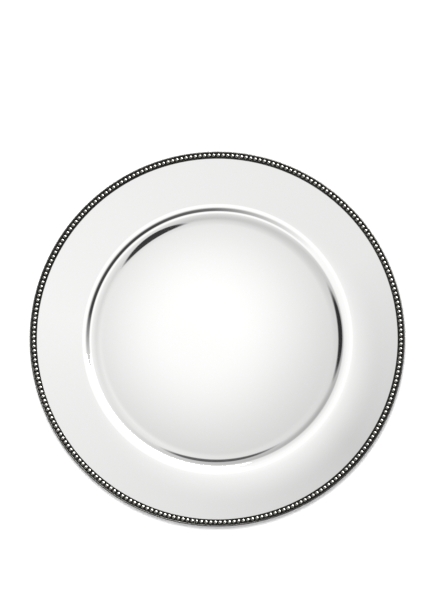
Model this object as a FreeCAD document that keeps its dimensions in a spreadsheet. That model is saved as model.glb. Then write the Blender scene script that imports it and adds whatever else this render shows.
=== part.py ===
import FreeCAD, Part
import math
import os
import Sketcher

# A round silver charger: a spun dish with a bead border soldered onto its edge.
# Millimetres, +Z up, origin at the centre of the flat underside that the dish stands on.
# Every section lies in the XZ plane, with X as the radius, and is turned about Z.

SIZES = {
    "outer_radius": 160.0,  # over the edge moulding
    "sheet_thick": 1.2,  # the spun sheet
    "floor_radius": 97.9,  # flat floor of the well
    "sweep_radius": 75.0,  # the gentle curve that leaves the floor
    "sweep_angle": 7.5,
    "corner_radius": 5.0,  # the tighter curve that stands the wall up
    "wall_angle": 42.0,
    "wall_run": 1.0,  # the straight wall, measured across
    "shoulder_radius": 10.2,  # the curve from the wall over to the broad rim
    "rim_radius": 880.0,  # the slight crown of the broad rim
    "seat_radius": 153.9,  # where the flat seat of the border starts
    "seat_height": 13.7,  # top face of the seat
    "sheet_radius": 159.1,  # trimmed edge of the sheet
    "film_thick": 0.1,  # solder under the border
    "reed_width": 0.75,
    "reed_height": 1.0,
    "reed_bevel": 0.2,
    "strip_radius": 158.7,  # outer edge of the bead wire
    "strip_thick": 0.5,  # its flat back
    "strip_count": 4.0,  # lengths of it in the circle
    "beads_per_strip": 62.0,
    "bead_radius": 1.82,
    "bead_collar": 0.25,  # straight side under each half-round bead
    "butt_gap": 0.08,  # soldered gap between two lengths, in degrees
    "first_butt_angle": 263.0,  # one of those gaps, in degrees from +X
    "rail_height": 1.9,  # top of the edge moulding above the seat
    "lap_radius": 156.9,  # inner edge of the moulding's lip under the sheet
    "lap_thick": 0.8,
    "heel_bevel": 0.4,  # bevel along the moulding's lower outer edge
    "fillet_size": 0.5,  # solder fillet against that lip
}

FULL_TURN = 360.0
RIM_START = (12.0, 9.5)  # the rim's slopes where the solver starts: the seat's place settles them
SMALL_VOLUME = 1e-3


def make_sheet(doc):
    """The driving dimensions, one row each: a name beside a plain number."""
    sheet = doc.addObject("Spreadsheet::Sheet", "sizes")
    for row, (alias, value) in enumerate(SIZES.items(), start=1):
        sheet.set(f"A{row}", alias)
        sheet.set(f"B{row}", str(value))
        sheet.setAlias(f"B{row}", alias)
    doc.recompute()


def make_body(doc, name):
    body = doc.addObject("PartDesign::Body", name)
    body.Label = name
    return body


def origin_feature(body, role):
    return next(f for f in body.Origin.OriginFeatures if f.Role == role)


def make_sketch(body, name):
    """An empty section in the body's own XZ plane."""
    sketch = body.newObject("Sketcher::SketchObject", name)
    sketch.AttachmentSupport = (origin_feature(body, "XZ_Plane"), "")
    sketch.MapMode = "FlatFace"
    return sketch


def line(sketch, start, end):
    start_point, end_point = FreeCAD.Vector(*start, 0), FreeCAD.Vector(*end, 0)
    return sketch.addGeometry(Part.LineSegment(start_point, end_point), False)


def arc(sketch, centre, radius, start_degrees, end_degrees):
    circle = Part.Circle(FreeCAD.Vector(*centre, 0), FreeCAD.Vector(0, 0, 1), radius)
    ends = math.radians(start_degrees), math.radians(end_degrees)
    return sketch.addGeometry(Part.ArcOfCircle(circle, *ends), False)


def constrain(sketch, *facts):
    sketch.addConstraint(Sketcher.Constraint(*facts))


def bind(sketch, expression, *facts):
    """Adds a dimension that follows the sheet."""
    number = sketch.addConstraint(Sketcher.Constraint(*facts))
    sketch.setExpression(f"Constraints[{number}]", expression)


def place(sketch, edge, end, point, x_expression, z_expression):
    """Fixes one end of an edge at a radius and a height that follow the sheet."""
    bind(sketch, x_expression, "DistanceX", -1, 1, edge, end, point[0])
    bind(sketch, z_expression, "DistanceY", -1, 1, edge, end, point[1])


def outline(sketch, corners):
    """A closed outline of straight lines. Each corner is (x, z, x expression, z expression).
    The corners stay clear of Z, because a sketch takes no zero dimension."""
    after = corners[1:] + corners[:1]
    sides = [line(sketch, a[:2], b[:2]) for a, b in zip(corners, after)]
    for side, follower in zip(sides, sides[1:] + sides[:1]):
        constrain(sketch, "Coincident", side, 2, follower, 1)
    for side, (x, z, x_expression, z_expression) in zip(sides, corners):
        place(sketch, side, 1, (x, z), x_expression, z_expression)


def turn(body, sketch, axis=None):
    """Revolves a section about the body's Z axis, or about a line of the section."""
    revolution = body.newObject("PartDesign::Revolution", sketch.Name + "_turned")
    revolution.Profile = sketch
    revolution.ReferenceAxis = axis or (origin_feature(body, "Z_Axis"), [""])
    revolution.Angle = FULL_TURN
    return revolution


def arc_end(start, radius, slope_before, slope_after):
    """Where an arc that starts at a point with one slope reaches another, in degrees."""
    before, after = math.radians(slope_before), math.radians(slope_after)
    across = abs(math.sin(after) - math.sin(before)) * radius
    up = abs(math.cos(before) - math.cos(after)) * radius
    return start[0] + across, start[1] + up


def beside(point, distance, slope):
    """The point a distance to the upper left of an edge that rises at a slope."""
    angle = math.radians(slope)
    return point[0] - distance * math.sin(angle), point[1] + distance * math.cos(angle)


def dish_face(sketch, height, growth, growth_expression):
    """One face of the dish from the axis to the seat: flat floor, sweep, corner, wall,
    shoulder and slightly crowned rim, each tangent to the next. The hollow curves of the
    underside are larger by the sheet's thickness, and its crowned ones are smaller.
    Returns floor and rim."""
    low, steep = SIZES["sweep_angle"], SIZES["wall_angle"]
    rim_low, rim_steep = min(RIM_START), max(RIM_START)
    sweep_radius = SIZES["sweep_radius"] + growth
    corner_radius = SIZES["corner_radius"] + growth
    shoulder_radius = SIZES["shoulder_radius"] - growth
    rim_radius = SIZES["rim_radius"] - growth
    run = SIZES["wall_run"]

    floor_end = (SIZES["floor_radius"], height)
    sweep_end = arc_end(floor_end, sweep_radius, 0, low)
    corner_end = arc_end(sweep_end, corner_radius, low, steep)
    wall_end = (corner_end[0] + run, corner_end[1] + run * math.tan(math.radians(steep)))
    shoulder_end = arc_end(wall_end, shoulder_radius, steep, rim_steep)

    floor = line(sketch, (0, height), floor_end)
    sweep = arc(sketch, beside(floor_end, sweep_radius, 0), sweep_radius, -90, low - 90)
    corner_centre = beside(sweep_end, corner_radius, low)
    corner = arc(sketch, corner_centre, corner_radius, low - 90, steep - 90)
    wall = line(sketch, corner_end, wall_end)
    shoulder_centre = beside(wall_end, -shoulder_radius, steep)
    shoulder = arc(sketch, shoulder_centre, shoulder_radius, 90 + rim_steep, 90 + steep)
    rim_centre = beside(shoulder_end, -rim_radius, rim_steep)
    rim = arc(sketch, rim_centre, rim_radius, 90 + rim_low, 90 + rim_steep)

    constrain(sketch, "Horizontal", floor)
    constrain(sketch, "Tangent", floor, 2, sweep, 1)
    constrain(sketch, "Tangent", sweep, 2, corner, 1)
    constrain(sketch, "Tangent", corner, 2, wall, 1)
    constrain(sketch, "Tangent", wall, 2, shoulder, 2)
    constrain(sketch, "Tangent", shoulder, 1, rim, 2)
    bind(sketch, "sizes.floor_radius", "DistanceX", floor, 1, floor, 2, floor_end[0])
    bind(sketch, f"sizes.sweep_radius + {growth_expression}", "Radius", sweep, sweep_radius)
    bind(sketch, "sizes.sweep_angle", "Angle", sweep, math.radians(low))
    bind(sketch, f"sizes.corner_radius + {growth_expression}", "Radius", corner, corner_radius)
    bind(sketch, "sizes.wall_angle", "Angle", wall, math.radians(steep))
    bind(sketch, "sizes.wall_run", "DistanceX", wall, 1, wall, 2, run)
    shoulder_expression = f"sizes.shoulder_radius - {growth_expression}"
    bind(sketch, shoulder_expression, "Radius", shoulder, shoulder_radius)
    return floor, rim


def dish(doc):
    """The spun sheet: well, wall, broad rim and the flat seat of the border, one thickness."""
    body = make_body(doc, "dish")
    sketch = make_sketch(body, "dish_section")
    thick, edge, top = SIZES["sheet_thick"], SIZES["sheet_radius"], SIZES["seat_height"]
    seat = SIZES["seat_radius"]
    top_floor, top_rim = dish_face(sketch, thick, 0.0, "0")
    under_floor, under_rim = dish_face(sketch, 0.0, thick, "sizes.sheet_thick")
    axis = line(sketch, (0, 0), (0, thick))
    seat_top = line(sketch, (seat, top), (edge, top))
    seat_edge = line(sketch, (edge, top), (edge, top - thick))
    seat_under = line(sketch, (edge, top - thick), (seat, top - thick))
    constrain(sketch, "Coincident", axis, 1, -1, 1)
    constrain(sketch, "Vertical", axis)
    constrain(sketch, "Coincident", axis, 1, under_floor, 1)
    constrain(sketch, "Coincident", axis, 2, top_floor, 1)
    constrain(sketch, "Coincident", top_rim, 1, seat_top, 1)
    constrain(sketch, "Coincident", seat_top, 2, seat_edge, 1)
    constrain(sketch, "Coincident", seat_edge, 2, seat_under, 1)
    constrain(sketch, "Coincident", seat_under, 2, under_rim, 1)
    constrain(sketch, "Horizontal", seat_top)
    constrain(sketch, "Vertical", seat_edge)
    constrain(sketch, "Horizontal", seat_under)
    constrain(sketch, "Coincident", top_rim, 3, under_rim, 3)
    bind(sketch, "sizes.sheet_thick", "DistanceY", axis, 1, axis, 2, thick)
    bind(sketch, "sizes.rim_radius", "Radius", top_rim, SIZES["rim_radius"])
    place(sketch, seat_top, 1, (seat, top), "sizes.seat_radius", "sizes.seat_height")
    bind(sketch, "sizes.sheet_radius", "DistanceX", -1, 1, seat_edge, 1, edge)
    bind(sketch, "sizes.sheet_thick", "DistanceY", seat_edge, 2, seat_edge, 1, thick)
    turn(body, sketch)
    return body


def inner_reed(doc):
    """The fine plain wire that closes the border on the side of the rim: square, with the
    two corners of its top bevelled."""
    body = make_body(doc, "inner_reed")
    sketch = make_sketch(body, "reed_section")
    left, bevel = SIZES["seat_radius"], SIZES["reed_bevel"]
    right = left + SIZES["reed_width"]
    low = SIZES["seat_height"] + SIZES["film_thick"]
    high = low + SIZES["reed_height"]
    x_left, x_right = "sizes.seat_radius", "sizes.seat_radius + sizes.reed_width"
    z_low = "sizes.seat_height + sizes.film_thick"
    z_high = z_low + " + sizes.reed_height"
    outline(sketch, [
        (left, low, x_left, z_low),
        (right, low, x_right, z_low),
        (right, high - bevel, x_right, z_high + " - sizes.reed_bevel"),
        (right - bevel, high, x_right + " - sizes.reed_bevel", z_high),
        (left + bevel, high, x_left + " + sizes.reed_bevel", z_high),
        (left, high - bevel, x_left, z_high + " - sizes.reed_bevel"),
    ])
    turn(body, sketch)
    return body


def half_round(sketch, left, right, top, x_left, x_right, z_top):
    """Two upright sides with a half circle over them, drawn as two quarters that meet at
    the top. Returns left side and right side."""
    radius = (right - left) / 2
    waist = top - radius
    left_side = line(sketch, (left, waist - radius), (left, waist))
    right_side = line(sketch, (right, waist - radius), (right, waist))
    centre = (left + radius, waist)
    left_crown = arc(sketch, centre, radius, 90, 180)
    right_crown = arc(sketch, centre, radius, 0, 90)
    constrain(sketch, "Vertical", left_side)
    constrain(sketch, "Vertical", right_side)
    constrain(sketch, "Tangent", left_side, 2, left_crown, 2)
    constrain(sketch, "Tangent", right_side, 2, right_crown, 1)
    constrain(sketch, "Coincident", left_crown, 1, right_crown, 2)
    constrain(sketch, "Coincident", left_crown, 3, right_crown, 3)
    constrain(sketch, "Vertical", left_crown, 3, left_crown, 1)
    bind(sketch, x_left, "DistanceX", -1, 1, left_side, 2, left)
    bind(sketch, x_right, "DistanceX", -1, 1, right_side, 2, right)
    waist_expression = f"{z_top} - ({x_right} - ({x_left})) / 2"
    bind(sketch, waist_expression, "DistanceY", -1, 1, left_crown, 3, waist)
    return left_side, right_side


def edge_moulding(doc):
    """The drawn edge wire: a half-round rail outside the beads, an upright outer side with
    a bevelled heel, and a rebate for the trimmed sheet, with a lip lapped under it."""
    body = make_body(doc, "edge_moulding")
    sketch = make_sketch(body, "moulding_section")
    seat, thick = SIZES["seat_height"], SIZES["sheet_thick"]
    left, right, bevel = SIZES["strip_radius"], SIZES["outer_radius"], SIZES["heel_bevel"]
    step, lap, lip = SIZES["sheet_radius"], SIZES["lap_radius"], SIZES["lap_thick"]
    under = seat - thick
    left_side, right_side = half_round(
        sketch, left, right, seat + SIZES["rail_height"],
        "sizes.strip_radius", "sizes.outer_radius", "sizes.seat_height + sizes.rail_height",
    )
    rail_foot = line(sketch, (left, seat), (step, seat))
    rebate = line(sketch, (step, seat), (step, under))
    lip_top = line(sketch, (step, under), (lap, under))
    lip_end = line(sketch, (lap, under), (lap, under - lip))
    lip_under = line(sketch, (lap, under - lip), (right - bevel, under - lip))
    heel = line(sketch, (right - bevel, under - lip), (right, under - lip + bevel))
    chain = (rail_foot, rebate, lip_top, lip_end, lip_under, heel)
    constrain(sketch, "Coincident", left_side, 1, rail_foot, 1)
    for edge, follower in zip(chain, chain[1:]):
        constrain(sketch, "Coincident", edge, 2, follower, 1)
    constrain(sketch, "Coincident", heel, 2, right_side, 1)
    for flat in (rail_foot, lip_top, lip_under):
        constrain(sketch, "Horizontal", flat)
    for upright in (rebate, lip_end):
        constrain(sketch, "Vertical", upright)
    place(sketch, rebate, 1, (step, seat), "sizes.sheet_radius", "sizes.seat_height")
    bind(sketch, "sizes.sheet_thick", "DistanceY", rebate, 2, rebate, 1, thick)
    bind(sketch, "sizes.lap_radius", "DistanceX", -1, 1, lip_end, 1, lap)
    bind(sketch, "sizes.lap_thick", "DistanceY", lip_end, 2, lip_end, 1, lip)
    bind(sketch, "sizes.heel_bevel", "DistanceX", heel, 1, heel, 2, bevel)
    bind(sketch, "sizes.heel_bevel", "DistanceY", heel, 1, heel, 2, bevel)
    turn(body, sketch)
    return body


def strip_outline(sketch):
    """The flat back of the bead wire, from the inner reed to the edge moulding."""
    left = SIZES["seat_radius"] + SIZES["reed_width"]
    right = SIZES["strip_radius"]
    low = SIZES["seat_height"] + SIZES["film_thick"]
    high = low + SIZES["strip_thick"]
    x_left, x_right = "sizes.seat_radius + sizes.reed_width", "sizes.strip_radius"
    z_low = "sizes.seat_height + sizes.film_thick"
    z_high = z_low + " + sizes.strip_thick"
    outline(sketch, [
        (left, low, x_left, z_low),
        (right, low, x_right, z_low),
        (right, high, x_right, z_high),
        (left, high, x_left, z_high),
    ])


def bead_outline(sketch):
    """Half of a bead's section, from its foot in the strip: collar, quarter circle, axis."""
    centre = (SIZES["seat_radius"] + SIZES["reed_width"] + SIZES["strip_radius"]) / 2
    radius = SIZES["bead_radius"]
    foot = SIZES["seat_height"] + SIZES["film_thick"]
    side = SIZES["strip_thick"] + SIZES["bead_collar"]
    base = line(sketch, (centre, foot), (centre + radius, foot))
    collar = line(sketch, (centre + radius, foot), (centre + radius, foot + side))
    crown = arc(sketch, (centre, foot + side), radius, 0, 90)
    axis = line(sketch, (centre, foot + side + radius), (centre, foot))
    constrain(sketch, "Coincident", base, 2, collar, 1)
    constrain(sketch, "Tangent", collar, 2, crown, 1)
    constrain(sketch, "Coincident", crown, 2, axis, 1)
    constrain(sketch, "Coincident", axis, 2, base, 1)
    constrain(sketch, "Horizontal", base)
    constrain(sketch, "Vertical", collar)
    constrain(sketch, "Vertical", axis)
    constrain(sketch, "PointOnObject", crown, 3, axis)
    x_centre = "(sizes.seat_radius + sizes.reed_width + sizes.strip_radius) / 2"
    place(sketch, base, 1, (centre, foot), x_centre, "sizes.seat_height + sizes.film_thick")
    bind(sketch, "sizes.bead_radius", "Radius", crown, radius)
    side_expression = "sizes.strip_thick + sizes.bead_collar"
    bind(sketch, side_expression, "DistanceY", collar, 1, collar, 2, side)
    return axis


def bead_strip(doc, number):
    """One length of bead wire: a flat strip bent to its share of the circle, with a row of
    half-round beads struck on it. It stops half a soldered gap short at each end."""
    body = make_body(doc, f"bead_strip_{number}")
    section = make_sketch(body, f"strip_section_{number}")
    strip_outline(section)
    back = turn(body, section)
    back.setExpression("Angle", "360 / sizes.strip_count - sizes.butt_gap")
    doc.recompute()
    bead = make_sketch(body, f"bead_section_{number}")
    upright = FreeCAD.Vector(0, 1, 0)  # the sketch's own Y stands along Z
    bead.AttachmentOffset = FreeCAD.Placement(FreeCAD.Vector(), FreeCAD.Rotation(upright, 1))
    half_pitch = "180 / (sizes.strip_count * sizes.beads_per_strip)"
    bead.setExpression("AttachmentOffset.Rotation.Angle", half_pitch + " - sizes.butt_gap / 2")
    axis = bead_outline(bead)
    crown = turn(body, bead, (bead, [f"Edge{axis + 1}"]))
    row = pattern(body, crown, f"bead_row_{number}", "sizes.beads_per_strip")
    row.setExpression("Angle", f"360 / sizes.strip_count - 2 * {half_pitch}")
    start = f"sizes.first_butt_angle + 360 / sizes.strip_count * {number - 1}"
    body.setExpression("Placement.Rotation.Angle", start + " + sizes.butt_gap / 2")
    return body


def pattern(body, feature, name, count_expression):
    """Repeats a feature about the body's Z axis, at first over the whole turn."""
    row = body.newObject("PartDesign::PolarPattern", name)
    row.Originals = [feature]
    row.Axis = (origin_feature(body, "Z_Axis"), [""])
    row.Angle = FULL_TURN
    row.setExpression("Occurrences", count_expression)
    body.Tip = row
    return row


def seat_solder(doc):
    """The film of solder on the seat, under the inner reed and the bead strips."""
    body = make_body(doc, "seat_solder")
    sketch = make_sketch(body, "film_section")
    left, right = SIZES["seat_radius"], SIZES["strip_radius"]
    low = SIZES["seat_height"]
    high = low + SIZES["film_thick"]
    z_low, z_high = "sizes.seat_height", "sizes.seat_height + sizes.film_thick"
    outline(sketch, [
        (left, low, "sizes.seat_radius", z_low),
        (right, low, "sizes.strip_radius", z_low),
        (right, high, "sizes.strip_radius", z_high),
        (left, high, "sizes.seat_radius", z_high),
    ])
    turn(body, sketch)
    return body


def butt_solder(doc):
    """The wedges of solder that fill the gaps between the bead strips."""
    body = make_body(doc, "butt_solder")
    sketch = make_sketch(body, "wedge_section")
    strip_outline(sketch)
    wedge = turn(body, sketch)
    wedge.setExpression("Angle", "sizes.butt_gap")
    doc.recompute()
    pattern(body, wedge, "wedge_ring", "sizes.strip_count")
    body.setExpression(
        "Placement.Rotation.Angle", "sizes.first_butt_angle - sizes.butt_gap / 2"
    )
    return body


def edge_solder(doc):
    """The fillet of solder in the angle between the sheet's underside and the lip's edge."""
    body = make_body(doc, "edge_solder")
    sketch = make_sketch(body, "fillet_section")
    lap, size = SIZES["lap_radius"], SIZES["fillet_size"]
    under = SIZES["seat_height"] - SIZES["sheet_thick"]
    z_under = "sizes.seat_height - sizes.sheet_thick"
    outline(sketch, [
        (lap, under, "sizes.lap_radius", z_under),
        (lap - size, under, "sizes.lap_radius - sizes.fillet_size", z_under),
        (lap, under - size, "sizes.lap_radius", z_under + " - sizes.fillet_size"),
    ])
    turn(body, sketch)
    return body


def check(doc, bodies):
    """Stops before anything is written if the model did not build whole."""
    for item in doc.Objects:
        failed = {"Invalid", "Error"} & set(item.State)
        if failed:
            raise RuntimeError(f"{item.Name} is {', '.join(failed)}")
    for body in bodies:
        shape = body.Shape
        if shape.isNull() or not shape.isValid() or shape.Volume < SMALL_VOLUME:
            raise RuntimeError(f"{body.Label} has no sound solid")


def main():
    doc = FreeCAD.newDocument("charger")
    make_sheet(doc)
    bodies = [dish(doc), edge_moulding(doc), inner_reed(doc)]
    bodies += [bead_strip(doc, number + 1) for number in range(int(SIZES["strip_count"]))]
    bodies += [seat_solder(doc), butt_solder(doc), edge_solder(doc)]
    doc.recompute()
    check(doc, bodies)
    os.makedirs("parts", exist_ok=True)
    for body in bodies:
        body.Shape.exportStep(f"parts/{body.Label}.step")
        print(f"{body.Label}: {body.Shape.Volume:.2f} mm3, {len(body.Shape.Solids)} solid(s)")


main()
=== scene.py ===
import math

import bpy
import numpy as np
from mathutils import Matrix, Vector


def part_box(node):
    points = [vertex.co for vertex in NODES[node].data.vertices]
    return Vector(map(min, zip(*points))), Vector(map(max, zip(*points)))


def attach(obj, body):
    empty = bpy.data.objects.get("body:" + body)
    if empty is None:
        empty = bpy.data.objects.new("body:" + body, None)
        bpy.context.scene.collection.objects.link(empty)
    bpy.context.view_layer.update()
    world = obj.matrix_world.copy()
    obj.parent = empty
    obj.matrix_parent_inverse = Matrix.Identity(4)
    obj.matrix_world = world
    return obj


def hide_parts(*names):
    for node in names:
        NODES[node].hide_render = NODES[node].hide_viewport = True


# A round silver charger lying on a pale floor under soft studio light. Metres, +Z up, origin
# at the centre of the flat underside. Every silver piece is a surface worked out from its
# own section, and so is the solder fillet under the sheet; the solder on the seat and in the
# butt joints keeps its frame bodies.

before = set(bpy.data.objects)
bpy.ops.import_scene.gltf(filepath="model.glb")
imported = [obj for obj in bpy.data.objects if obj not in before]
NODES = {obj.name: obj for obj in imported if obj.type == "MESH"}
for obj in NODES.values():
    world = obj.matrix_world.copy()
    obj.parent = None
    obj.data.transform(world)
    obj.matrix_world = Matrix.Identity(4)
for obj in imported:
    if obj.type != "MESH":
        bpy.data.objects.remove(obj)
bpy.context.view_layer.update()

# ---- sizes ---------------------------------------------------------------------------------

MM = 0.001
TURN = 2 * math.pi

OUTER_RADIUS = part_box("edge_moulding")[1].x
SHEET_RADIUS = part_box("dish")[1].x
SEAT_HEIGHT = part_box("dish")[1].z
RAIL_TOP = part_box("edge_moulding")[1].z
RAIL_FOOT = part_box("edge_moulding")[0].z
FILM_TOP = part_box("seat_solder")[1].z
REED_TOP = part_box("inner_reed")[1].z
REED_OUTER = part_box("inner_reed")[1].x

SHEET_THICK = 1.2 * MM
FLOOR_RADIUS = 97.9 * MM
SWEEP_RADIUS = 75.0 * MM
SWEEP_ANGLE = math.radians(7.5)
CORNER_RADIUS = 5.0 * MM
WALL_ANGLE = math.radians(42.0)
WALL_RUN = 1.0 * MM
SHOULDER_RADIUS = 10.2 * MM
RIM_RADIUS = 880.0 * MM
SEAT_RADIUS = 153.9 * MM

STRIP_RADIUS = 158.7 * MM
STRIP_THICK = 0.5 * MM
BEAD_COLLAR = 0.25 * MM
BEAD_RADIUS = 1.82 * MM
BEAD_SIDES = 12
BEAD_RINGS = (0, 27, 50, 71)  # degrees up the half-round bead, one for each ring
NARROW_BEAD = 0.72  # width of the bead filed at the joint, as a share of a whole one
WIDTH_SPREAD = 0.015  # standard deviation of the beads' widths
HEIGHT_LOSS = 0.03  # most that a bead is lower than a whole one
STRIPS = 4
BEADS_PER_STRIP = 62
BUTT_GAP = math.radians(0.08)
FIRST_BUTT = math.radians(263.0)

LAP_RADIUS = 156.9 * MM
HEEL_BEVEL = 0.4 * MM
REED_ROUNDING = 0.25 * MM
FILLET_SIZE = 0.5 * MM

TURN_STEPS = 720  # steps round the circle on the turned pieces

# ---- mesh code -----------------------------------------------------------------------------


def make_piece(name, points, faces, material, replaced, sharp_degrees=35.0):
    """Builds one closed piece that rides on the charger and stands for a frame node."""
    mesh = bpy.data.meshes.new(name)
    mesh.from_pydata(points.tolist(), [], faces)
    mesh.polygons.foreach_set("use_smooth", np.ones(len(mesh.polygons), dtype=bool))
    mesh.set_sharp_from_angle(angle=math.radians(sharp_degrees))
    mesh.materials.append(material)
    mesh.update()
    piece = bpy.data.objects.new(name, mesh)
    bpy.context.scene.collection.objects.link(piece)
    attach(piece, "root")
    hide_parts(replaced)
    return piece


def grid_faces(rows, columns, closed_rows, closed_columns):
    """Quads of a grid whose point (i, j) is number i * columns + j. A closed direction
    joins its last line to its first."""
    i = np.arange(rows if closed_rows else rows - 1)[:, None]
    j = np.arange(columns if closed_columns else columns - 1)[None, :]
    after_i, after_j = (i + 1) % rows, (j + 1) % columns
    corners = (i * columns + j, i * columns + after_j, after_i * columns + after_j,
               after_i * columns + j)
    quads = np.stack(np.broadcast_arrays(*corners), axis=-1).reshape(-1, 4)
    return quads.tolist()


def turned(section):
    """A section of (radius, height) turned about Z: the point of angle a at (r, z) is
    (r cos a, r sin a, z). The section runs counter-clockwise seen with radius to the right
    and height up, so that the faces look outwards. A section that starts and ends on the
    axis gets one point for each pole."""
    section = np.asarray(section)
    poles = section[0, 0] == 0 and section[-1, 0] == 0
    ring = section[1:-1] if poles else section
    steps = TURN_STEPS
    angle = np.arange(steps) * TURN / steps
    radius, height = ring[:, :1], ring[:, 1:]
    x, y = radius * np.cos(angle), radius * np.sin(angle)
    points = np.stack([x, y, np.broadcast_to(height, x.shape)], axis=-1).reshape(-1, 3)
    faces = grid_faces(len(ring), steps, not poles, True)
    if poles:
        first, last = len(points), len(points) + 1
        points = np.vstack([points, [0, 0, section[0, 1]], [0, 0, section[-1, 1]]])
        j = np.arange(steps)
        after = (j + 1) % steps
        base = (len(ring) - 1) * steps
        faces += np.stack([np.full(steps, first), after, j], axis=-1).tolist()
        faces += np.stack([np.full(steps, last), base + j, base + after], axis=-1).tolist()
    return points, faces


def arc_points(centre, radius, start, end, steps):
    """Points of an arc, ends included: centre plus radius times (cos t, sin t), where t
    runs evenly from start to end."""
    t = np.linspace(start, end, steps + 1)
    return np.stack([centre[0] + radius * np.cos(t), centre[1] + radius * np.sin(t)], axis=-1)


# ---- the dish ------------------------------------------------------------------------------


def rim_slopes(shoulder_centre):
    """The rim's slopes where it leaves the shoulder and where it meets the seat. For each
    inner slope s the end of the rim lies where sin e = sin s - run / rim radius; the inner
    slope kept is the one whose end is as high as the seat."""
    slope = np.linspace(0.1, 0.3, 401)
    begin = shoulder_centre[:, None] + SHOULDER_RADIUS * np.stack([-np.sin(slope), np.cos(slope)])
    end_slope = np.arcsin(np.sin(slope) - (SEAT_RADIUS - begin[0]) / RIM_RADIUS)
    end_height = begin[1] + RIM_RADIUS * (np.cos(end_slope) - np.cos(slope))
    inner = float(np.interp(SEAT_HEIGHT, end_height, slope))
    return inner, float(np.interp(inner, slope, end_slope))


def dish_curve(depth):
    """One face of the dish as points from the axis to the seat: flat floor, sweep, corner,
    wall, shoulder and slightly crowned rim, each curve tangent to the next. depth is how
    far the face lies under the top face: every curve keeps its centre, so the hollow ones
    grow by it and the crowned ones shrink by it."""
    sweep, corner = SWEEP_RADIUS + depth, CORNER_RADIUS + depth
    shoulder, rim = SHOULDER_RADIUS - depth, RIM_RADIUS - depth
    down, up = -math.pi / 2, math.pi / 2
    run_up = np.array([1, math.tan(WALL_ANGLE)])
    out_of_sweep = np.array([math.sin(SWEEP_ANGLE), -math.cos(SWEEP_ANGLE)])
    out_of_corner = np.array([math.sin(WALL_ANGLE), -math.cos(WALL_ANGLE)])

    sweep_centre = np.array([FLOOR_RADIUS, SHEET_THICK + SWEEP_RADIUS])
    corner_centre = sweep_centre + (SWEEP_RADIUS - CORNER_RADIUS) * out_of_sweep
    wall_end = corner_centre + CORNER_RADIUS * out_of_corner + WALL_RUN * run_up
    shoulder_centre = wall_end + SHOULDER_RADIUS * out_of_corner
    inner, outer = rim_slopes(shoulder_centre)
    under_shoulder = np.array([math.sin(inner), -math.cos(inner)])
    rim_centre = shoulder_centre + (RIM_RADIUS - SHOULDER_RADIUS) * under_shoulder

    flat = np.array([0.0, 0.97, 1.0]) * FLOOR_RADIUS
    floor = np.stack([flat, np.full(3, SHEET_THICK - depth)], axis=-1)
    sweep_arc = arc_points(sweep_centre, sweep, down, down + SWEEP_ANGLE, 16)
    corner_arc = arc_points(corner_centre, corner, down + SWEEP_ANGLE, down + WALL_ANGLE, 20)
    shoulder_arc = arc_points(shoulder_centre, shoulder, up + WALL_ANGLE, up + inner, 18)
    rim_arc = arc_points(rim_centre, rim, up + inner, up + outer, 10)
    return np.vstack([floor, sweep_arc[1:], corner_arc[1:], shoulder_arc, rim_arc[1:]])


def make_dish(material):
    """The spun sheet: the underside outwards, the trimmed edge, then the top back to the
    axis, turned about Z."""
    under = dish_curve(SHEET_THICK)
    top = dish_curve(0.0)
    seat_edge = [[SHEET_RADIUS, SEAT_HEIGHT - SHEET_THICK], [SHEET_RADIUS, SEAT_HEIGHT]]
    section = np.vstack([under, seat_edge, top[::-1]])
    points, faces = turned(section)
    return make_piece("spun_dish", points, faces, material, "dish",
                      sharp_degrees=6.0)


# ---- the border ----------------------------------------------------------------------------


def make_edge_moulding(material):
    """The edge wire: rail foot, rebate, lip, bevelled heel, upright side and half-round
    crown, as one closed section turned about Z."""
    under = SEAT_HEIGHT - SHEET_THICK
    crown_radius = (OUTER_RADIUS - STRIP_RADIUS) / 2
    crown_centre = (STRIP_RADIUS + crown_radius, RAIL_TOP - crown_radius)
    corners = [
        [STRIP_RADIUS, SEAT_HEIGHT], [SHEET_RADIUS, SEAT_HEIGHT], [SHEET_RADIUS, under],
        [LAP_RADIUS, under], [LAP_RADIUS, RAIL_FOOT], [OUTER_RADIUS - HEEL_BEVEL, RAIL_FOOT],
        [OUTER_RADIUS, RAIL_FOOT + HEEL_BEVEL],
    ]
    crown = arc_points(crown_centre, crown_radius, 0, math.pi, 14)
    points, faces = turned(np.vstack([corners, crown]))
    return make_piece("edge_rail", points, faces, material, "edge_moulding")


def make_reed(material):
    """The fine wire inside the beads: an oblong section whose top corners are rounded by
    quarter circles."""
    rounding = REED_ROUNDING
    right = arc_points((REED_OUTER - rounding, REED_TOP - rounding), rounding, 0, math.pi / 2, 5)
    left = arc_points((SEAT_RADIUS + rounding, REED_TOP - rounding), rounding,
                      math.pi / 2, math.pi, 5)
    foot = [[SEAT_RADIUS, FILM_TOP], [REED_OUTER, FILM_TOP]]
    points, faces = turned(np.vstack([foot, right, left]))
    return make_piece("fine_reed", points, faces, material, "inner_reed")


def strip_back(start, end):
    """The flat back of one length of bead wire: a rectangle carried along an arc about Z,
    from the start angle to the end angle, with both ends closed."""
    low, high = FILM_TOP, FILM_TOP + STRIP_THICK
    section = np.array([[REED_OUTER, low], [STRIP_RADIUS, low], [STRIP_RADIUS, high],
                        [REED_OUTER, high]])
    steps = 2 * BEADS_PER_STRIP
    angle = np.linspace(start, end, steps + 1)
    radius, height = section[:, :1], section[:, 1:]
    x, y = radius * np.cos(angle), radius * np.sin(angle)
    points = np.stack([x, y, np.broadcast_to(height, x.shape)], axis=-1).reshape(-1, 3)
    columns = steps + 1
    faces = grid_faces(4, columns, True, False)
    faces.append([3 * columns, 2 * columns, columns, 0])
    faces.append([steps, columns + steps, 2 * columns + steps, 3 * columns + steps])
    return points, faces


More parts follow.
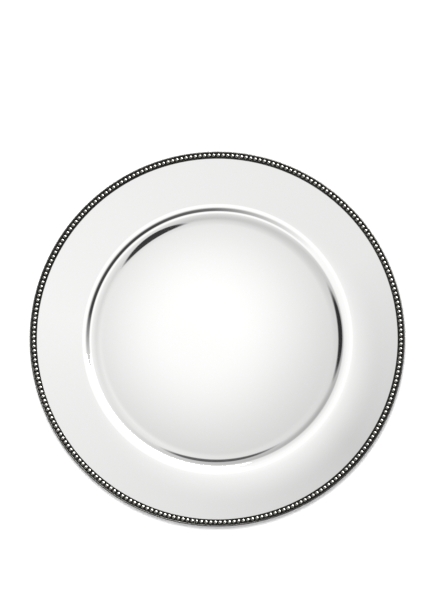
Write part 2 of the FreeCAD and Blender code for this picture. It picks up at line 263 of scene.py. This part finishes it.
def bead_domes(angles, widths, heights):
    """Half-round beads at the given angles about Z. In its own place a bead is the surface
    (p cos q, p sin q, h), where q goes round it and (p, h) runs up its collar and over a
    quarter circle of the bead's radius. widths scales it along the border and heights
    scales it upwards, one value to a bead. A bead has a ring at the foot and one for each
    of BEAD_RINGS, a pole and a foot face inside the strip."""
    sides = BEAD_SIDES
    around = np.arange(sides) * TURN / sides
    lift = np.radians(BEAD_RINGS)
    p = BEAD_RADIUS * np.concatenate([[1.0], np.cos(lift)])
    h = STRIP_THICK / 2 + BEAD_COLLAR + BEAD_RADIUS * np.sin(lift)
    h = np.concatenate([[0.0], h])
    top = STRIP_THICK / 2 + BEAD_COLLAR + BEAD_RADIUS
    out = np.append(np.outer(p, np.cos(around)).ravel(), 0.0)
    along = np.append(np.outer(p, np.sin(around)).ravel(), 0.0)
    up = np.append(np.repeat(h, sides), top)

    middle = (REED_OUTER + STRIP_RADIUS) / 2
    radial = middle + out[None, :]
    tangent = along[None, :] * widths[:, None]
    cos, sin = np.cos(angles)[:, None], np.sin(angles)[:, None]
    z = FILM_TOP + STRIP_THICK / 2 + up[None, :] * heights[:, None]
    points = np.stack([radial * cos - tangent * sin, radial * sin + tangent * cos, z], axis=-1)

    pole = sides * len(p)
    last_ring = pole - sides
    side = grid_faces(len(p), sides, False, True)
    j = np.arange(sides)
    cap = np.stack([last_ring + j, last_ring + (j + 1) % sides,
                    np.full(sides, pole)], axis=-1).tolist()
    one = side + cap + [list(range(sides - 1, -1, -1))]
    size = pole + 1
    faces = [[v + bead * size for v in face] for bead in range(len(angles)) for face in one]
    return points.reshape(-1, 3), faces


def make_bead_strip(number, material, rng):
    """One length of bead wire: its flat back and its row of beads, each a little different
    in width and height. The first bead of the first length is filed narrow at the joint."""
    share = TURN / STRIPS
    joint = FIRST_BUTT + share * (number - 1)
    back_points, back_faces = strip_back(joint + BUTT_GAP / 2, joint + share - BUTT_GAP / 2)
    angles = joint + share * (np.arange(BEADS_PER_STRIP) + 0.5) / BEADS_PER_STRIP
    widths = 1 + WIDTH_SPREAD * rng.standard_normal(BEADS_PER_STRIP)
    heights = 1 - HEIGHT_LOSS * rng.random(BEADS_PER_STRIP)
    if number == 1:
        widths[0] = NARROW_BEAD
    dome_points, dome_faces = bead_domes(angles, widths, heights)
    shift = len(back_points)
    faces = back_faces + [[v + shift for v in face] for face in dome_faces]
    points = np.vstack([back_points, dome_points])
    return make_piece(f"bead_wire_{number}", points, faces, material,
                      f"bead_strip_{number}", sharp_degrees=50.0)


def make_fillet(material):
    """The solder fillet under the sheet, against the lip: a hollow triangular section whose
    size swells and thins a little round the circle, as a sum of three slow sines."""
    steps = TURN_STEPS
    angle = np.arange(steps) * TURN / steps
    swell = 0.10 * np.sin(5 * angle) + 0.07 * np.sin(13 * angle + 1) + 0.05 * np.sin(31 * angle)
    size = FILLET_SIZE * (1 + swell)
    under = SEAT_HEIGHT - SHEET_THICK
    t = np.linspace(0, math.pi / 2, 5)
    inward = np.append(1 - np.sin(t), 0.0)
    downward = np.append(1 - np.cos(t), 0.0)
    radius = LAP_RADIUS - inward[:, None] * size
    z = under - downward[:, None] * size
    x, y = radius * np.cos(angle), radius * np.sin(angle)
    points = np.stack([x, y, z], axis=-1).reshape(-1, 3)
    faces = grid_faces(len(inward), steps, True, True)
    return make_piece("solder_fillet", points, faces, material, "edge_solder")


# ---- finishes ------------------------------------------------------------------------------


def node(tree, kind, inputs, **settings):
    """Adds a node, sets its properties, and fills its inputs with values or with links."""
    made = tree.nodes.new(kind)
    for name, value in settings.items():
        setattr(made, name, value)
    for name, value in inputs.items():
        if isinstance(value, bpy.types.NodeSocket):
            tree.links.new(value, made.inputs[name])
        else:
            made.inputs[name].default_value = value
    return made


def calc(tree, operation, *values):
    """One Math node on one to three values."""
    return node(tree, "ShaderNodeMath", dict(enumerate(values)), operation=operation).outputs[0]


def smooth(tree, value, low, high, out_low=0.0, out_high=1.0):
    """Eases from out_low to out_high while value goes from low to high."""
    inputs = {"Value": value, "From Min": low, "From Max": high, "To Min": out_low,
              "To Max": out_high}
    return node(tree, "ShaderNodeMapRange", inputs, interpolation_type="SMOOTHSTEP").outputs[0]


def noise(tree, point, scale, detail=2.0, roughness=0.5):
    """Cloudy noise from 0 to 1 with features about 1 / scale metres wide."""
    inputs = {"Vector": point, "Scale": scale, "Detail": detail, "Roughness": roughness}
    return node(tree, "ShaderNodeTexNoise", inputs).outputs["Fac"]


def blend_colour(tree, factor, first, second):
    """Goes from the first colour to the second as factor goes from 0 to 1."""
    made = node(tree, "ShaderNodeMix", {"Factor": factor}, data_type="RGBA")
    for socket, colour in ((made.inputs[6], first), (made.inputs[7], second)):
        if isinstance(colour, bpy.types.NodeSocket):
            tree.links.new(colour, socket)
        else:
            socket.default_value = (*colour, 1.0)
    return made.outputs[2]


def new_finish(name):
    """A material with an empty tree: returns it, its tree, a Principled shader wired to the
    output, and the Object coordinates."""
    material = bpy.data.materials.new(name)
    material.use_nodes = True
    tree = material.node_tree
    tree.nodes.clear()
    shader = node(tree, "ShaderNodeBsdfPrincipled", {})
    output = node(tree, "ShaderNodeOutputMaterial", {})
    tree.links.new(shader.outputs[0], output.inputs["Surface"])
    point = node(tree, "ShaderNodeTexCoord", {}).outputs["Object"]
    return material, tree, shader, point


SCRATCH_STRETCH = 40  # how many times longer than wide a scratch is


def hairlines(tree, point, turn, spread, share):
    """Fine straight scratches at one angle: noise drawn out much longer than it is wide,
    with only its highest ridges kept."""
    inputs = {"Vector": point, "Rotation": (0.0, 0.0, turn),
              "Scale": (spread / SCRATCH_STRETCH, spread, spread)}
    drawn = node(tree, "ShaderNodeMapping", inputs).outputs[0]
    return smooth(tree, noise(tree, drawn, 1.0, 1.0), 1 - share, 1 - share + 0.08)


def turning_lines(tree, point, scale):
    """Faint rings left by spinning and buffing: noise read along the distance from the axis."""
    parts = node(tree, "ShaderNodeSeparateXYZ", {0: point})
    flat = node(tree, "ShaderNodeCombineXYZ", {"X": parts.outputs[0], "Y": parts.outputs[1]})
    length = node(tree, "ShaderNodeVectorMath", {0: flat.outputs[0]}, operation="LENGTH")
    inputs = {"W": length.outputs["Value"], "Scale": scale, "Detail": 3.0}
    return node(tree, "ShaderNodeTexNoise", inputs, noise_dimensions="1D").outputs["Fac"]


def make_polished_silver():
    """Mirror-polished silver, with wipe marks, hairlines in three directions, faint turning
    lines and painted shade: a thin grey painted in from one spot of the well to its margin."""
    material, tree, shader, point = new_finish("polished_silver")
    rings = turning_lines(tree, point, 1500.0)
    wipes = noise(tree, point, 16.0, 4.0, 0.6)
    scratches = hairlines(tree, point, 0.35, 3000.0, 0.31)
    for turn, spread in ((1.62, 2600.0), (2.71, 3600.0)):
        scratches = calc(tree, "MAXIMUM", scratches, hairlines(tree, point, turn, spread, 0.31))

    unshaded_tone = blend_colour(tree, wipes, (0.957, 0.957, 0.952), (0.943, 0.942, 0.935))
    # painted shade: the base colour is greyed from the well's lightest spot out to its margin, on
    # both faces
    away = node(tree, "ShaderNodeVectorMath", {0: point, 1: UNSHADED_SPOT}, operation="DISTANCE")
    shade_edge_distance = node(tree, "ShaderNodeVectorMath", {0: point, 1: SHADE_ROUND}, operation="DISTANCE")
    painted_shade = calc(tree, "MULTIPLY", smooth(tree, away.outputs["Value"], *SHADE_REACH),
                 smooth(tree, shade_edge_distance.outputs["Value"], *SHADE_END, 1.0, 0.0))
    colour = blend_colour(tree, painted_shade, unshaded_tone, (0.65, 0.65, 0.645))
    tree.links.new(colour, shader.inputs["Base Color"])
    shader.inputs["Metallic"].default_value = 1.0
    satin = smooth(tree, wipes, 0.35, 0.75, 0.02, 0.035)
    worn = calc(tree, "MULTIPLY_ADD", scratches, 0.05, satin)
    tree.links.new(worn, shader.inputs["Roughness"])

    lines = calc(tree, "MULTIPLY_ADD", scratches, -0.6, rings)
    bump = node(tree, "ShaderNodeBump", {"Height": lines, "Strength": 0.1,
                                         "Distance": 0.000001})
    tree.links.new(bump.outputs[0], shader.inputs["Normal"])
    return material


def make_border_silver(name, crown_low, crown_high, dull, bright):
    """Border silver darkened in its hollows: worn to between the dull and the bright colour
    above crown_high and dark under crown_low, both heights in metres."""
    material, tree, shader, point = new_finish(name)
    height = node(tree, "ShaderNodeSeparateXYZ", {0: point}).outputs[2]
    blotches = noise(tree, point, 420.0, 3.0, 0.6)
    grain = noise(tree, point, 5200.0, 3.0, 0.6)
    uneven = calc(tree, "MULTIPLY_ADD", calc(tree, "SUBTRACT", blotches, 0.5), 0.0006, height)
    crown = smooth(tree, uneven, crown_low, crown_high)

    hollow = blend_colour(tree, grain, (0.004, 0.004, 0.0035), (0.013, 0.0125, 0.011))
    worn = blend_colour(tree, blotches, dull, bright)
    colour = blend_colour(tree, crown, hollow, worn)
    tree.links.new(colour, shader.inputs["Base Color"])
    tree.links.new(smooth(tree, crown, 0.0, 0.3, 0.0, 1.0), shader.inputs["Metallic"])
    shader.inputs["Specular IOR Level"].default_value = 0.15
    rough = smooth(tree, crown, 0.0, 1.0, 0.42, 0.12)
    tree.links.new(calc(tree, "MULTIPLY_ADD", grain, 0.08, rough), shader.inputs["Roughness"])
    bump = node(tree, "ShaderNodeBump", {"Height": grain, "Strength": 0.2,
                                         "Distance": 0.00002})
    tree.links.new(bump.outputs[0], shader.inputs["Normal"])
    return material


def make_solder():
    """Dull grey tin solder, slightly lumpy."""
    material, tree, shader, point = new_finish("solder")
    lumps = noise(tree, point, 900.0, 3.0, 0.55)
    colour = blend_colour(tree, lumps, (0.30, 0.30, 0.29), (0.52, 0.52, 0.50))
    tree.links.new(colour, shader.inputs["Base Color"])
    shader.inputs["Metallic"].default_value = 1.0
    tree.links.new(smooth(tree, lumps, 0.2, 0.8, 0.34, 0.55), shader.inputs["Roughness"])
    bump = node(tree, "ShaderNodeBump", {"Height": lumps, "Strength": 0.5,
                                         "Distance": 0.00012})
    tree.links.new(bump.outputs[0], shader.inputs["Normal"])
    return material


UNSHADED_SPOT = (-15 * MM, 5 * MM, 0.0)  # the spot of the well where the painted shade is lightest
SHADE_REACH = (25 * MM, 130 * MM)  # how far from there the painted shade starts and is full
SHADE_ROUND = (1.5 * MM, -1.5 * MM, 0.0)  # middle of the circle outside which the painted shade fades out
SHADE_END = (105.0 * MM, 110.2 * MM)  # how far from there the painted shade starts to fade and is gone
polished_silver = make_polished_silver()
bead_silver = make_border_silver("bead_silver", FILM_TOP + 0.6 * MM, FILM_TOP + 1.0 * MM,
                                 (0.12, 0.118, 0.11), (0.27, 0.267, 0.25))
rail_silver = make_border_silver("rail_silver", RAIL_TOP - 0.5 * MM, RAIL_TOP + 0.2 * MM,
                                 (0.05, 0.049, 0.045), (0.16, 0.158, 0.15))
reed_silver = make_border_silver("reed_silver", REED_TOP - 0.3 * MM, REED_TOP + 0.3 * MM,
                                 (0.02, 0.0195, 0.017), (0.07, 0.069, 0.065))
solder = make_solder()

# ---- the pieces ----------------------------------------------------------------------------

BEAD_SEED = 62
chance = np.random.default_rng(BEAD_SEED)

make_dish(polished_silver)
make_edge_moulding(rail_silver)
make_reed(reed_silver)
for strip_number in range(1, STRIPS + 1):
    make_bead_strip(strip_number, bead_silver, chance)
make_fillet(solder)

for solder_node in ("seat_solder", "butt_solder"):
    NODES[solder_node].data.materials.clear()
    NODES[solder_node].data.materials.append(solder)


# ---- the studio ----------------------------------------------------------------------------


TOUCHING = 0.3 * MM  # a ray shorter than this left a face that touches the table


def make_floor(half):
    """A plain pale table top at z = 0, clear when looked at from underneath and to light that
    leaves the plate's flat underside, which touches it."""
    mesh = bpy.data.meshes.new("table_top")
    corners = [(-half, -half, 0), (half, -half, 0), (half, half, 0), (-half, half, 0)]
    mesh.from_pydata(corners, [], [(0, 1, 2, 3)])
    floor = bpy.data.objects.new("table_top", mesh)
    bpy.context.scene.collection.objects.link(floor)
    material, tree, shader, point = new_finish("table_paint")
    mottle = noise(tree, point, 6.0, 3.0, 0.5)
    colour = blend_colour(tree, mottle, (0.86, 0.86, 0.86), (0.88, 0.88, 0.88))
    tree.links.new(colour, shader.inputs["Base Color"])
    shader.inputs["Roughness"].default_value = 0.8
    shader.inputs["Specular IOR Level"].default_value = 0.0
    clear = node(tree, "ShaderNodeBsdfTransparent", {})
    behind = node(tree, "ShaderNodeNewGeometry", {}).outputs["Backfacing"]
    travelled = node(tree, "ShaderNodeLightPath", {}).outputs["Ray Length"]
    touching = calc(tree, "LESS_THAN", travelled, TOUCHING)
    mixed = node(tree, "ShaderNodeMixShader", {0: calc(tree, "MAXIMUM", behind, touching),
                                               1: shader.outputs[0], 2: clear.outputs[0]})
    output = next(n for n in tree.nodes if n.type == "OUTPUT_MATERIAL")
    tree.links.new(mixed.outputs[0], output.inputs["Surface"])
    floor.data.materials.append(material)


def blend_level(tree, factor, first, second):
    """Goes from the first level to the second as factor goes from 0 to 1."""
    return node(tree, "ShaderNodeMix", {2: first, 3: second, 0: factor}).outputs[0]


def round_tent(tree, share, levels):
    """Brightness round one ring of the tent, in straight lines between (azimuth, level)
    pairs that go from 0 to 360 degrees."""
    ramp = node(tree, "ShaderNodeValToRGB", {"Fac": share})
    stops = ramp.color_ramp.elements
    while len(stops) < len(levels):
        stops.new(0.5)
    for stop, (azimuth, level) in zip(stops, levels):
        stop.position = azimuth / 360
        stop.color = (level, level, level, 1.0)
    return ramp.outputs[0]


def dark_oval(tree, sky, tilt, azimuth, outwards, across, level, edge):
    """An oval on the flattened sky that lets through only the given level in its middle and
    everything outside it. outwards and across are its half sizes in degrees, away from the
    zenith and round it, and edge is how much of them the soft edge takes."""
    turn = math.radians(azimuth)
    inputs = {"Vector": sky, "Location": (tilt * math.cos(turn), tilt * math.sin(turn), 0.0),
              "Rotation": (0.0, 0.0, turn), "Scale": (outwards, across, 1.0)}
    local = node(tree, "ShaderNodeMapping", inputs, vector_type="TEXTURE").outputs[0]
    away = node(tree, "ShaderNodeVectorMath", {0: local}, operation="LENGTH").outputs["Value"]
    return smooth(tree, away, 1 - edge, 1 + edge, level, 1.0)


def make_tent():
    """A white light tent round the plate, as a world. The tent is made of rings by their
    tilt from +Z, each with its own brightness round the azimuths, eased into each other, with
    a dark opening for the lens and two dark cards. The flattened sky is (tilt cos azimuth,
    tilt sin azimuth) in degrees."""
    world = bpy.data.worlds.new("light_tent")
    bpy.context.scene.world = world
    world.use_nodes = True
    tree = world.node_tree
    tree.nodes.clear()
    towards = node(tree, "ShaderNodeTexCoord", {}).outputs["Generated"]
    x, y, z = node(tree, "ShaderNodeSeparateXYZ", {0: towards}).outputs
    tilt = calc(tree, "DEGREES", calc(tree, "ARCCOSINE", z))
    angle = calc(tree, "ARCTAN2", y, x)
    share = calc(tree, "FRACT", calc(tree, "DIVIDE", angle, TURN))
    inputs = {"X": calc(tree, "MULTIPLY", tilt, calc(tree, "COSINE", angle)),
              "Y": calc(tree, "MULTIPLY", tilt, calc(tree, "SINE", angle))}
    sky = node(tree, "ShaderNodeCombineXYZ", inputs).outputs[0]

    level = TENT_TOP
    for low, high, levels in TENT_RINGS:
        ring = round_tent(tree, share, levels)
        level = blend_level(tree, smooth(tree, tilt, low, high), level, ring)
    for oval in (LENS_OPENING, NORTH_CARD, WEST_CARD):
        level = calc(tree, "MULTIPLY", level, dark_oval(tree, sky, *oval))
    level = calc(tree, "MULTIPLY", level, TENT_WHITE)

    tent = node(tree, "ShaderNodeBackground", {"Color": (1.0, 1.0, 1.0, 1.0),
                                               "Strength": level})
    backdrop = node(tree, "ShaderNodeBackground", {"Color": (1.0, 1.0, 1.0, 1.0),
                                                   "Strength": BACKDROP})
    seen = node(tree, "ShaderNodeLightPath", {}).outputs["Is Camera Ray"]
    mixed = node(tree, "ShaderNodeMixShader", {0: seen, 1: tent.outputs[0],
                                               2: backdrop.outputs[0]})
    output = node(tree, "ShaderNodeOutputWorld", {})
    tree.links.new(mixed.outputs[0], output.inputs["Surface"])


def aim(thing, place, target, top_side):
    """Puts a lamp or camera at place, looking at target, with top_side up in its picture."""
    back = (place - target).normalized()
    right = Vector(top_side).cross(back).normalized()
    up = back.cross(right)
    turn = Matrix((right, up, back)).transposed()
    thing.matrix_world = Matrix.Translation(place) @ turn.to_4x4()


def from_zenith(tilt, azimuth, distance, centre):
    """The point at a tilt from +Z and an azimuth, in degrees, at a distance from centre."""
    t, a = math.radians(tilt), math.radians(azimuth)
    way = Vector((math.sin(t) * math.cos(a), math.sin(t) * math.sin(a), math.cos(t)))
    return centre + distance * way


def make_softbox(name, tilt, azimuth, distance, size, radiance):
    """A rectangular softbox, size (width, height) in metres, whose face has the given
    radiance: power = radiance * pi * area."""
    lamp = bpy.data.lights.new(name, "AREA")
    lamp.shape = "RECTANGLE"
    lamp.size, lamp.size_y = size
    lamp.energy = radiance * math.pi * size[0] * size[1]
    softbox = bpy.data.objects.new(name, lamp)
    bpy.context.scene.collection.objects.link(softbox)
    centre = Vector((0, 0, 0))
    aim(softbox, from_zenith(tilt, azimuth, distance, centre), centre, (0, 0, 1))
    return softbox


# The tent's brightness straight overhead, and its rings from the top down: (tilt where the
# ring starts to show, tilt where it shows fully, its (azimuth, brightness) pairs).
BACKDROP = 0.97  # what the camera itself sees past the table
TENT_WHITE = 1.06
TENT_TOP = 0.95
OVERHEAD = ((0, 0.85), (90, 1.10), (180, 0.90), (270, 0.70), (360, 0.85))
UPPER = ((0, 0.90), (90, 0.75), (140, 0.60), (200, 0.80), (360, 0.90))
SIDES = ((0, 1.00), (360, 1.00))
LOW = ((0, 0.30), (20, 0.95), (220, 0.95), (270, 0.15), (300, 0.05), (350, 0.05), (360, 0.30))
TENT_RINGS = ((0.0, 5.0, OVERHEAD), (8.0, 14.0, UPPER), (20.0, 27.0, SIDES), (50.0, 75.0, LOW))
# Dark ovals: (tilt, azimuth, half size outwards, half size across, brightness, soft edge).
LENS_OPENING = (3.7, -60.0, 3.4, 1.8, 0.06, 0.15)
NORTH_CARD = (10.0, 100.0, 1.8, 3.5, 0.15, 0.30)
WEST_CARD = (11.0, 170.0, 2.8, 3.2, 0.05, 0.30)

make_floor(half=6.0)
make_tent()
key = make_softbox("key_softbox", tilt=66.0, azimuth=58.0, distance=2.2, size=(3.8, 1.7),
                   radiance=15.0)
key.visible_diffuse = False
top = make_softbox("table_softbox", tilt=6.5, azimuth=90.0, distance=2.2, size=(0.25, 0.35),
                   radiance=110.0)
top.visible_glossy = False
for lamp in (key, top):
    lamp.visible_camera = False

# ---- the camera ----------------------------------------------------------------------------

CAMERA_DISTANCE = 2.5
CAMERA_EAST = math.radians(1.8)
CAMERA_SOUTH = math.radians(2.4)
LENS_MM = 174.35
AIM_POINT = Vector((0.5 * MM, 30.25 * MM, SEAT_HEIGHT))

lens = bpy.data.cameras.new("studio_camera")
lens.lens = LENS_MM
lens.sensor_width = 36.0
camera = bpy.data.objects.new("studio_camera", lens)
bpy.context.scene.collection.objects.link(camera)
aim(camera, Vector((CAMERA_DISTANCE * math.tan(CAMERA_EAST),
                    -CAMERA_DISTANCE * math.tan(CAMERA_SOUTH),
                    CAMERA_DISTANCE + SEAT_HEIGHT)), AIM_POINT, (0, 1, 0))
bpy.context.scene.camera = camera
bpy.context.scene.view_settings.view_transform = "Standard"

# ---- the end -------------------------------------------------------------------------------

bpy.context.view_layer.update()
